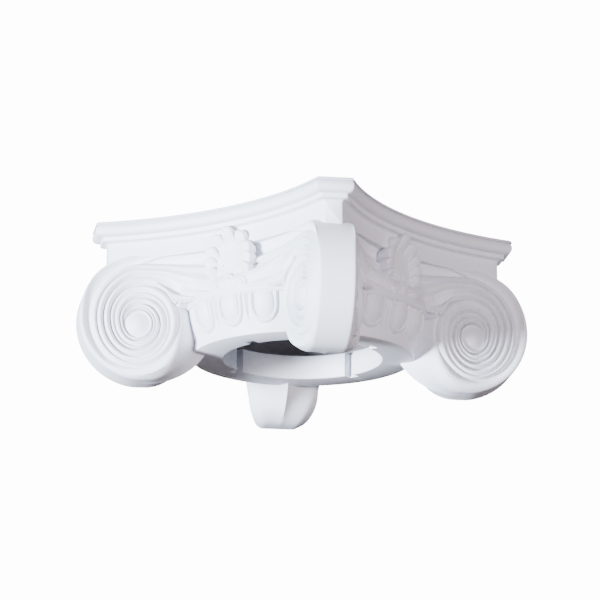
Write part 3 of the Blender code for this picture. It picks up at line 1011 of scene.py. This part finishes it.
@dataclass
class Echinus:
    """Neck ring, plain band, quarter round and lip, with the eggs and darts on them."""

    ring_radius: float = 107.7
    ring_bottom: float = 30.3
    band_height: float = 9.5
    radius: float = 116.5
    lip_bottom: float = 67.5
    lip_out: float = 5.6
    bore: float = 76.2
    bore_height: float = 23.3
    cavity: float = 92.0
    cavity_top: float = 140.0
    keyway_width: float = 10.0
    keyway_depth: float = 9.0
    spaces: int = 20
    egg_half: float = 10.0       # half width
    egg_out: float = 4.6
    egg_middle: float = 58.0     # height where an egg is widest
    egg_head: float = 76.0       # its top, hidden behind the lip
    collar_half: float = 12.3    # half the width of the rim round an egg, along its middle line
    collar_centre: float = 55.5  # height where its round foot turns into its straight sides
    collar_head: float = 71.0
    collar_wide: float = 2.0     # half the thickness of the rim
    collar_out: float = 3.2
    dart_head: float = 74.0
    dart_half: float = 2.5
    dart_out: float = 3.2
    core_inner: float = 60.0     # inside of the turned ring, which the bore takes away
    core_radius: float = 102.0   # its outside behind the channels
    core_top: float = 126.5
    wall_radius: float = 116.0   # mean radius that distances round the wall are measured at
    bore_steps: int = 144
    steps: int = 168

    def ground(self, z: float) -> float:
        """Radius of the plain echinus at a height.

        Args:
            z: Height.

        Returns:
            The radius.
        """
        low = self.ring_bottom + self.band_height
        u = max(0.0, min(1.0, (z - low) / (self.lip_bottom - low)))
        return self.ring_radius + (self.radius - self.ring_radius) * math.sin(u * math.pi / 2)

    def profile(self) -> list[tuple[float, float]]:
        """Closed section of the ring, outer side first.

        Returns:
            The points as radius and height.
        """
        low = self.ring_bottom
        eggs = low + self.band_height
        points = [(self.core_inner, low), (self.ring_radius - 1.6, low),
                  (self.ring_radius - 0.5, low + 0.4),
                  (self.ring_radius, low + 1.5), (self.ring_radius, eggs - 0.6)]
        for k in range(1, 10):
            z = mix(eggs, self.lip_bottom, k / 9.0)
            points.append((self.ground(z), z))
        lip = self.radius + self.lip_out
        points += [(lip - 3.8, self.lip_bottom + 0.1), (lip - 3.0, self.lip_bottom + 0.5),
                   (lip - 1.2, self.lip_bottom + 2.2), (lip - 0.2, self.lip_bottom + 4.0),
                   (lip - 0.1, self.lip_bottom + 5.2), (lip - 1.0, self.lip_bottom + 7.4),
                   (self.radius, self.lip_bottom + 10.0), (self.core_radius, 82.0),
                   (self.core_radius, self.core_top), (self.core_inner, self.core_top)]
        return points

    def on_wall(self, turn: float, across: float, z: float, out: float) -> Point:
        """Point by its distance round the wall from a turn, and its height out of the wall.

        Args:
            turn: Turn from the middle of the -Y side.
            across: Distance round the wall.
            z: Height.
            out: Distance out of the wall.

        Returns:
            The point.
        """
        ground = self.ground(z)
        a = turn + across / self.wall_radius
        return ((ground + out) * math.sin(a), -(ground + out) * math.cos(a), z)

    def egg(self, turn: float) -> bpy.types.Object:
        """Models one egg, narrower below and running under the lip above.

        Args:
            turn: Turn from the middle of the -Y side.

        Returns:
            The closed egg.
        """
        foot, middle, head = (self.ring_bottom + self.band_height + 0.9, self.egg_middle,
                              self.egg_head)

        def place(f: float, a: float) -> Point:
            """Point of its surface, f along it."""
            u = -math.cos(f * math.pi)
            z = mix(middle, head, u) if u > 0 else mix(middle, foot, -u)
            power = 2.0 if u > 0 else 2.15
            share = (1.0 - abs(u) ** power) ** (1.0 / power) if abs(u) < 1.0 else 0.0
            out = math.cos(a)
            return self.on_wall(turn, share * self.egg_half * math.sin(a), z,
                                share * self.egg_out * (out if out > 0 else 1.3 * out) - 0.2)

        return petal("egg", 28, 18, place)

    def collar(self, turn: float) -> bpy.types.Object:
        """Models the U-shaped rim round one egg.

        Args:
            turn: Turn from the middle of the -Y side.

        Returns:
            The closed rim.
        """
        foot, head = self.ring_bottom + self.band_height + 0.2, self.collar_head

        def place(f: float, g: float) -> Point:
            """Point of its surface, f along it."""
            b = 1.5 * (2.0 * f - 1.0)
            half, centre = self.collar_half, self.collar_centre
            if abs(b) < 1.0:
                a = b * math.pi / 2.0
                x, z = math.sin(a), -math.cos(a)
                px, pz = half * x, centre + (centre - foot - 1.6) * z
                nx, nz = x, z
            else:
                px = math.copysign(half, b)
                pz = centre + (abs(b) - 1.0) / 0.5 * (head - centre)
                nx, nz = math.copysign(1.0, b), 0.0
            swing = 2.0 * math.pi * g
            offset = self.collar_wide * math.cos(swing)
            out = self.collar_out * math.sin(swing)
            return self.on_wall(turn, px + nx * offset, pz + nz * offset,
                                out if out > 0 else 0.8 * out)

        tube = sheet("collar", 36, 10, place)
        pick([tube])
        bpy.ops.object.mode_set(mode="EDIT")
        bpy.ops.mesh.select_all(action="SELECT")
        bpy.ops.mesh.remove_doubles(threshold=0.004 * MM)
        bpy.ops.mesh.select_all(action="DESELECT")
        bpy.ops.mesh.select_non_manifold()
        bpy.ops.mesh.fill_holes(sides=0)
        bpy.ops.mesh.select_all(action="SELECT")
        bpy.ops.mesh.normals_make_consistent(inside=False)
        bpy.ops.object.mode_set(mode="OBJECT")
        return tube

    def dart(self, turn: float) -> bpy.types.Object:
        """Models one dart between two eggs, its point below.

        Args:
            turn: Turn from the middle of the -Y side.

        Returns:
            The closed dart.
        """
        foot, head = self.ring_bottom + self.band_height + 1.0, self.dart_head

        def place(f: float, a: float) -> Point:
            """Point of its surface, f along it."""
            u = 0.5 - 0.5 * math.cos(f * math.pi)
            z = mix(foot, head, u)
            half = self.dart_half * step(u / 0.62) ** 0.7 * (1.0 if u < 0.985 else 0.5) + 0.15
            if f <= 0.0 or f >= 1.0:
                half = 0.0
            out = math.cos(a)
            keel = (1.0 - abs(math.sin(a))) if out > 0 else 0.6 * out
            rise = self.dart_out * keel * step(u / 0.35)
            return self.on_wall(turn, half * math.sin(a), z, rise - 0.3)

        return petal("dart", 12, 14, place)

    def ring(self) -> bpy.types.Object:
        """Models the turned ring."""
        return turned("neck_ring", self.profile(), self.steps)

    def carving(self) -> list[list[bpy.types.Object]]:
        """Models the eggs, the collars and the darts of one side, each kind apart.

        Returns:
            The three kinds.
        """
        pitch = 2.0 * math.pi / self.spaces
        return [[self.egg(k * pitch) for k in (-1, 0, 1)],
                [self.collar(k * pitch) for k in (-1, 0, 1)],
                [self.dart(k * pitch) for k in (-0.5, 0.5)]]

    def hollow(self) -> list[bpy.types.Object]:
        """Models what is taken out from below: bore, cavity and four keyways.

        Returns:
            The closed cutters.
        """
        lip = self.ring_bottom + self.bore_height
        low = self.ring_bottom
        rings = [(self.bore + 6.6, low - 6.0), (self.bore + 1.1, low - 0.1),
                 (self.bore + 0.35, low + 0.5), (self.bore, low + 1.4), (self.bore, lip - 0.6),
                 (self.bore + 0.5, lip), (self.cavity - 1.5, lip), (self.cavity, lip + 1.5),
                 (self.cavity, self.cavity_top - 4.0), (self.cavity - 1.2, self.cavity_top - 1.2),
                 (self.cavity - 4.0, self.cavity_top)]
        outlines = []
        count = self.bore_steps
        for radius, z in rings:
            outlines.append([(radius * math.cos(2 * math.pi * k / count),
                              radius * math.sin(2 * math.pi * k / count), z) for k in range(count)])
        tools = [drawn_up("bore", outlines)]
        for quarter in range(SIDES):
            deselect_all()
            reach = self.bore + self.keyway_depth - 10.0
            bpy.ops.mesh.primitive_cube_add(size=1.0)
            key = named("keyway")
            for vert in key.data.vertices:
                vert.co = Vector((vert.co.x * self.keyway_width, -reach - 20.0 * vert.co.y,
                                  mix(low - 4.0, lip + 4.0, vert.co.z + 0.5))) * MM
            key.data.transform(Matrix.Rotation(quarter * math.pi / 2.0, 4, "Z"))
            pick([key])
            bpy.ops.object.mode_set(mode="EDIT")
            bpy.ops.mesh.select_all(action="SELECT")
            bpy.ops.mesh.normals_make_consistent(inside=False)
            bpy.ops.object.mode_set(mode="OBJECT")
            tools.append(key)
        return tools


# Shell and husks


@dataclass
class Shell:
    """Fan of nine fingers on the middle of a side, with three small ones under it."""

    reach: float = 113.5         # axis to the fascia behind it
    tips: tuple[tuple[float, float], ...] = ((0.0, 136.2), (16.8, 129.6), (22.8, 118.8),
                                             (24.0, 108.6), (22.4, 97.8))
    roots: tuple[tuple[float, float], ...] = ((0.0, 85.0), (4.2, 86.0), (9.0, 96.0),
                                              (10.0, 92.0), (9.5, 87.5))
    bends: tuple[tuple[float, float], ...] = ((0.0, 112.0), (7.4, 113.0), (16.4, 104.0),
                                              (18.5, 96.5), (18.0, 89.5))
    widths: tuple[tuple[float, float], ...] = ((2.4, 6.7), (2.8, 6.6), (3.4, 6.2), (3.4, 6.0),
                                               (3.2, 5.8))

    def finger(self, k: int) -> bpy.types.Object:
        """Models one finger; k counts out from the middle, negative to the left.

        Args:
            k: Number of the finger.

        Returns:
            The closed finger.
        """
        side = -1.0 if k < 0 else 1.0
        root, bend, tip = ((side * x, z) for x, z in
                           (self.roots[abs(k)], self.bends[abs(k)], self.tips[abs(k)]))
        narrow, broad = self.widths[abs(k)]
        long = abs(k) < 2
        swell = 0.62 if long else 0.42   # where the hollow part ends and the finger tip begins

        def place(f: float, a: float) -> Point:
            """Point of its surface, f along it."""
            g = 0.5 - 0.5 * math.cos(f * math.pi)
            x = mix(mix(root[0], bend[0], g), mix(bend[0], tip[0], g), g)
            z = mix(mix(root[1], bend[1], g), mix(bend[1], tip[1], g), g)
            dx, dz = mix(bend[0] - root[0], tip[0] - bend[0], g), mix(bend[1] - root[1],
                                                                     tip[1] - bend[1], g)
            size = math.hypot(dx, dz) or 1.0
            nx, nz = dz / size, -dx / size
            blunt = math.sqrt(max(0.0, 1.0 - max(0.0, (g - 0.80) / 0.20) ** 2.4))
            if f <= 0.0:
                blunt = 0.0
            half = mix(narrow, broad, step(g / 0.85)) * blunt
            bulge = step((g - swell + 0.14) / 0.30)
            hook = 8.6 if k == 0 else 6.2 if long else 5.6
            lift = mix(3.0, 1.6, step(g / 0.4)) + hook * step((g - swell) / (0.96 - swell))
            lift -= 1.4 * max(0.0, (g - 0.92) / 0.08) ** 2
            front, across = math.cos(a), math.sin(a)
            if front > 0:
                out = lift + 2.7 * front * blunt * bulge
                out -= 2.0 * (1.0 - bulge) * math.cos(across * math.pi / 2.0) ** 2
                out += 0.7 * (1.0 - bulge) * math.cos(across * math.pi * 3.0) * blunt
            else:
                out = max(-12.0, lift + 16.0 * front * blunt)
            return (x + nx * half * across, -(self.reach + out), z + nz * half * across)

        return petal("finger", 24, 24, place)

    def backing(self) -> bpy.types.Object:
        """Models the dished plate that the fingers lie on.

        Returns:
            The closed plate.
        """
        def place(f: float, a: float) -> Point:
            """Point of its surface, f along it."""
            ring = math.sin(f * math.pi)
            front = -math.cos(f * math.pi)
            x = -19.5 * ring * math.sin(a)
            z = 105.5 + 23.5 * ring * math.cos(a) + (2.0 if math.cos(a) > 0 else 0.0) * ring
            out = 2.3 if front > 0 else -12.0
            out += 2.0 * ring ** 4 if front > 0 else 0.0
            return (x, -(self.reach + out * abs(front) ** 0.25), z)

        return petal("backing", 36, 14, place)

    def small(self, x: float, z: float, half: float, tall: float) -> bpy.types.Object:
        """Models one small finger under the fan.

        Args:
            x: Middle of it along the face.
            z: Height of its middle.
            half: Half width.
            tall: Half height.

        Returns:
            The closed finger.
        """
        def place(f: float, a: float) -> Point:
            """Point of its surface, f along it."""
            g = -math.cos(f * math.pi)
            share = math.sqrt(max(0.0, 1.0 - abs(g) ** (2.6 if g > 0 else 3.0)))
            front = math.cos(a)
            ring = math.hypot(math.sin(a) * share, g)
            out = 3.2 + share * (4.6 * front if front > 0 else 12.0 * front) + 2.0 * max(0.0, g)
            if front > 0:
                out -= 2.2 * math.exp(-((ring - 0.62) / 0.12) ** 2) * step((g + 0.4) / 0.5)
            px = x * (1.0 + 0.10 * g) + half * share * math.sin(a)
            return (px, -(self.reach + out), z + tall * g)

        return petal("small_finger", 28, 24, place)

    def build(self) -> list[bpy.types.Object]:
        """Models the shell of the -Y side.

        Returns:
            Its pieces, the plate first.
        """
        parts = [self.backing()]
        for k in (0, 1, -1, 2, -2, 3, -3, 4, -4):
            parts.append(self.finger(k))
        for x, z, half, tall in ((-14.6, 78.0, 6.8, 7.0), (14.6, 78.0, 6.8, 7.0),
                                 (0.0, 81.6, 7.2, 8.2)):
            parts.append(self.small(x, z, half, tall))
        return parts


@dataclass
class Husk:
    """Half palmette that springs from the top of a volute and falls over the lip."""

    face: Face
    root: tuple[float, float] = (89.0, 94.6)
    tips: tuple[tuple[float, float], ...] = ((65.0, 71.0), (59.6, 71.0), (54.2, 71.2),
                                             (48.6, 71.6), (42.4, 72.6))

    def leaf(self, k: int) -> bpy.types.Object:
        """Models one leaf, k from the volute toward the middle of the side.

        Args:
            k: Number of the leaf.

        Returns:
            The closed leaf.
        """
        tip = self.tips[k]
        share = k / (len(self.tips) - 1.0)
        dx, dz = tip[0] - self.root[0], tip[1] - self.root[1]
        size = math.hypot(dx, dz)
        nx, nz = -dz / size, dx / size

        def place(f: float, a: float) -> Point:
            """Point of its surface, f along it."""
            g = 0.5 - 0.5 * math.cos(f * math.pi)
            g = 0.12 + 0.88 * g
            bow = mix(-2.6, 4.4, share) * math.sin(g * math.pi)
            blunt = math.sqrt(max(0.0, 1.0 - max(0.0, (g - 0.86) / 0.14) ** 2.2))
            half = mix(0.9, 2.3, step((g - 0.1) / 0.8)) * blunt * (0.0 if f <= 0 else 1.0)
            s = self.root[0] + dx * g + nx * (bow - half * math.sin(a))
            z = self.root[1] + dz * g + nz * (bow - half * math.sin(a))
            front = math.cos(a)
            rise = mix(1.8, 5.0, step((g - 0.25) / 0.6)) - 3.0 * math.exp(-((g - 0.95) / 0.03) ** 2)
            h = rise * front * blunt - 0.3 if front > 0 else 4.6 * front - 0.3
            return self.face.point(s, z, h)

        return petal("husk_leaf", 16, 18, place)

    def build(self) -> list[bpy.types.Object]:
        """Models the leaves beside one volute."""
        return [self.leaf(k) for k in range(len(self.tips))]


# Studio


@dataclass
class Studio:
    """Camera, soft lights, pale floor and white surround."""

    azimuth: float = 36.5232
    elevation: float = -14.9616
    roll: float = 0.2198
    focal: float = 4141.4        # in pixels of a frame 600 across
    distance: float = 4010.4
    aim_right: float = -0.000666
    aim_up: float = 0.002387
    floor_z: float = -1.9

    def camera(self) -> None:
        """Stands the camera where the photograph was taken."""
        a, e, r = (math.radians(v) for v in (self.azimuth, self.elevation, self.roll))
        back = Vector((math.sin(a) * math.cos(e), -math.cos(a) * math.cos(e), math.sin(e)))
        spot = back * self.distance * MM + Vector((0.0, 0.0, 0.08))
        right = Vector((math.cos(a), math.sin(a), 0.0))
        up = back.cross(right)
        ahead = (-back + right * self.aim_right + up * self.aim_up).normalized()
        right = ahead.cross(Vector((0.0, 0.0, 1.0))).normalized()
        up = right.cross(ahead)
        across = right * math.cos(r) + up * math.sin(r)
        upward = up * math.cos(r) - right * math.sin(r)
        data = bpy.data.cameras.new("camera")
        data.sensor_width = 36.0
        data.lens = self.focal * 36.0 / 600.0
        data.clip_end = 60.0
        camera = bpy.data.objects.new("camera", data)
        bpy.context.scene.collection.objects.link(camera)
        turn = Matrix((across, upward, -ahead)).transposed().to_4x4()
        camera.matrix_world = Matrix.Translation(spot) @ turn
        bpy.context.scene.camera = camera

    def lamp(self, name: str, spot: Point, size: float, beam: float, power: float,
             colour: str) -> None:
        """Hangs a soft square lamp that looks at the capital.

        Args:
            name: What to call it.
            spot: Where it hangs, in metres.
            size: Side in metres.
            beam: Spread of its light in degrees.
            power: Watts.
            colour: Tint as a hex value.
        """
        data = bpy.data.lights.new(name, "AREA")
        data.energy = power
        data.size = size
        data.spread = math.radians(beam)
        data.color = linear(colour)[:3]
        lamp = bpy.data.objects.new(name, data)
        bpy.context.scene.collection.objects.link(lamp)
        way = (Vector((0.0, 0.0, 0.09)) - Vector(spot)).normalized()
        turn = way.to_track_quat("-Z", "Y").to_matrix().to_4x4()
        lamp.matrix_world = Matrix.Translation(spot) @ turn

    def surround(self) -> None:
        """Makes the white surround."""
        world = bpy.data.worlds.new("surround")
        world.use_nodes = True
        bpy.context.scene.world = world
        tree = world.node_tree
        tree.nodes.clear()
        soft = add_node(tree, "ShaderNodeBackground", links={
            "Color": linear("#F2D4DC"), "Strength": 0.11})
        plain = add_node(tree, "ShaderNodeBackground", links={
            "Color": linear("#FFFFFF"), "Strength": 14.0})
        path = add_node(tree, "ShaderNodeLightPath")
        both = add_node(tree, "ShaderNodeMixShader", links={
            0: path.outputs["Is Camera Ray"], 1: soft.outputs[0], 2: plain.outputs[0]})
        add_node(tree, "ShaderNodeOutputWorld", links={"Surface": both.outputs[0]})

    def floor(self) -> None:
        """Lays the pale floor far below the capital."""
        deselect_all()
        bpy.ops.mesh.primitive_plane_add(size=9.0, location=(0.0, 0.0, self.floor_z))
        floor = named("floor")
        material = bpy.data.materials.new("pale floor")
        material.use_nodes = True
        shader = material.node_tree.nodes["Principled BSDF"]
        shader.inputs["Base Color"].default_value = linear("#F4F4F4")
        shader.inputs["Roughness"].default_value = 0.9
        floor.data.materials.append(material)

    def build(self) -> None:
        """Sets the whole studio."""
        self.camera()
        self.surround()
        self.floor()
        self.lamp("key", (-0.80, -4.05, -0.68), 0.8, 30.0, 38.0, "#E6F1FF")
        self.lamp("fill", (3.70, -1.90, -0.30), 0.8, 36.0, 8.4, "#F6E8F0")
        self.lamp("back", (-2.00, 2.80, 2.40), 0.8, 36.0, 26.0, "#F2F4FF")


# The capital


@dataclass
class Capital:
    """The whole casting."""

    scrolls: Scrolls
    abacus: Abacus
    echinus: Echinus
    shell: Shell
    husk: Husk
    finish: WhiteCasting

    def build(self) -> bpy.types.Object:
        """Models the parts, joins them into one casting and dresses it.

        Returns:
            The casting.
        """
        body = self.echinus.ring()
        log.info("neck ring: %d faces", len(body.data.polygons))
        tools = [self.scrolls.build(), self.abacus.build()]
        for tool in tools:
            log.info("%s: %d faces", tool.name, len(tool.data.polygons))
        fingers = self.shell.build()
        shell = merged(fingers[0], fingers[1:], "UNION")
        for group in self.echinus.carving() + [[shell]]:
            around = [copied(part, quarter) for part in group for quarter in range(SIDES)]
            tools.append(joined(group[0].name, around, False))
            for part in group:
                bpy.data.objects.remove(part, do_unlink=True)
        leaves = self.husk.build()
        husk = merged(leaves[0], leaves[1:], "UNION")
        around = [copied(husk, quarter, side == 1) for quarter in range(SIDES) for side in (0, 1)]
        tools.append(joined("husks", around, False))
        bpy.data.objects.remove(husk, do_unlink=True)
        merged(body, tools, "UNION")
        merged(body, self.echinus.hollow(), "DIFFERENCE")
        body.name = "capital_casting"
        body.data.name = "capital_casting"
        body.data.materials.clear()
        body.data.materials.append(self.finish.material())
        pick([body])
        bpy.ops.object.shade_smooth_by_angle(angle=math.radians(38.0))
        log.info("capital_casting: %d faces", len(body.data.polygons))
        return body


def main() -> None:
    """Builds the studio and the capital."""
    logging.basicConfig(level=logging.INFO, format="%(message)s")
    Studio().build()
    face = Face()
    capital = Capital(Scrolls(Volute(face)), Abacus(), Echinus(), Shell(), Husk(face),
                      WhiteCasting())
    piece = capital.build()
    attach(piece, "root")
    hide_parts("ionic_capital")


if __name__ == "__main__":
    main()
